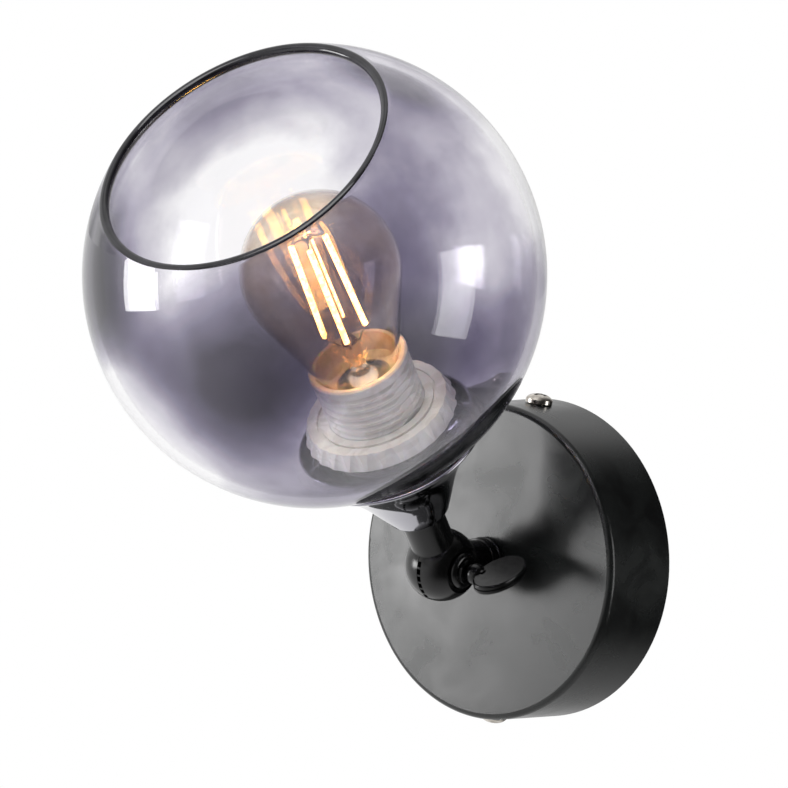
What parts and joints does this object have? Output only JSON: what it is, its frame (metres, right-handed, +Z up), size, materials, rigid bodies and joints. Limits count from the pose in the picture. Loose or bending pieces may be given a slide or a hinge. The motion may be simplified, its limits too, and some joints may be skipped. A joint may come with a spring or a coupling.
{
  "type": "globe wall sconce",
  "caption": "Wall lamp with a round black canopy, a clamped ball knuckle, a trumpet cup and a smoked glass globe that is open on its upper front side over a clear filament bulb",
  "frame": {"origin": "middle of the wall bracket's slots, on the wall plane, which is also the centre of the canopy's open edge", "axes": "+Y into the wall, +Z up, the lamp stands out towards -Y"},
  "size_m": [0.126, 0.1803, 0.196],
  "materials": {
    "black_coat": "satin black coating on steel",
    "black_chrome": "polished black nickel plating",
    "black_gloss": "glossy black coating on turned metal",
    "nickel": "bright nickel plating",
    "zinc": "zinc plated steel",
    "brass": "plain brass",
    "smoked_glass": "clear smoked glass",
    "clear_glass": "clear glass",
    "white_plastic": "glossy white thermoset",
    "pale_plastic": "matt off-white nylon",
    "silicone": "matt translucent silicone",
    "brown_wire": "wire sleeve",
    "blue_wire": "wire sleeve",
    "earth_wire": "green and yellow wire sleeve",
    "filament": "yellow phosphor coat, lit",
    "dark_glaze": "dark glass insulator",
    "solder": "soft solder",
    "circuit_board": "bare circuit board"
  },
  "bodies": {
    "wall_mount": {"wall_bracket": "zinc", "canopy_cover": "black_coat", "canopy_screws": "nickel", "earth_screw": "zinc", "earth_washer": "zinc", "earth_lead": "earth_wire", "terminal_block": "pale_plastic", "terminal_clamps": "brass", "terminal_screws": "zinc", "block_screw": "zinc", "canopy_live_wire": "brown_wire", "canopy_neutral_wire": "blue_wire", "stem_pipe": "zinc", "stem_nut": "zinc", "stem_lock_washer": "zinc", "pipe_bushing": "pale_plastic", "post_collar": "black_gloss", "knuckle_base": "black_gloss"},
    "head": {"knuckle_head": "black_gloss", "head_pipe": "zinc", "shade_cup": "black_chrome", "cup_spacer": "zinc", "cup_lock_washer": "zinc", "cup_nut": "zinc", "holder_cap": "white_plastic", "holder_shell": "white_plastic", "screw_contact": "brass", "centre_contact": "brass", "holder_terminals": "brass", "holder_terminal_screws": "zinc", "glass_gasket": "silicone", "globe_glass": "smoked_glass", "head_live_wire": "brown_wire", "head_neutral_wire": "blue_wire"},
    "thumbscrew": {"thumb_screw": "black_gloss", "cup_washer": "black_gloss", "spring_washer": "black_gloss"},
    "shade_ring": {"shade_ring": "white_plastic"},
    "bulb": {"bulb_glass": "clear_glass", "bulb_stem": "clear_glass", "bulb_filaments": "filament", "bulb_supports": "nickel", "bulb_cap": "nickel", "bulb_insulator": "dark_glaze", "bulb_tip": "solder", "bulb_driver": "circuit_board"}
  },
  "joints": [
    {"name": "head_tilt", "type": "hinge", "parent": "wall_mount", "child": "head", "pos_m": [0, -0.0463, 0], "axis": [1, 0, 0], "range_deg": [-25, 125]},
    {"name": "thumbscrew_turn", "type": "hinge", "parent": "wall_mount", "child": "thumbscrew", "pos_m": [0, -0.0463, 0], "axis": [1, 0, 0], "range_deg": [0, 720]},
    {"name": "shade_ring_turn", "type": "hinge", "parent": "head", "child": "shade_ring", "pos_m": [0, -0.0463, 0], "axis": [0, -0.632, 0.7749], "range_deg": [0, 1080]},
    {"name": "bulb_turn", "type": "hinge", "parent": "head", "child": "bulb", "pos_m": [0, -0.0463, 0], "axis": [0, -0.632, 0.7749], "range_deg": [0, 1620]}
  ]
}
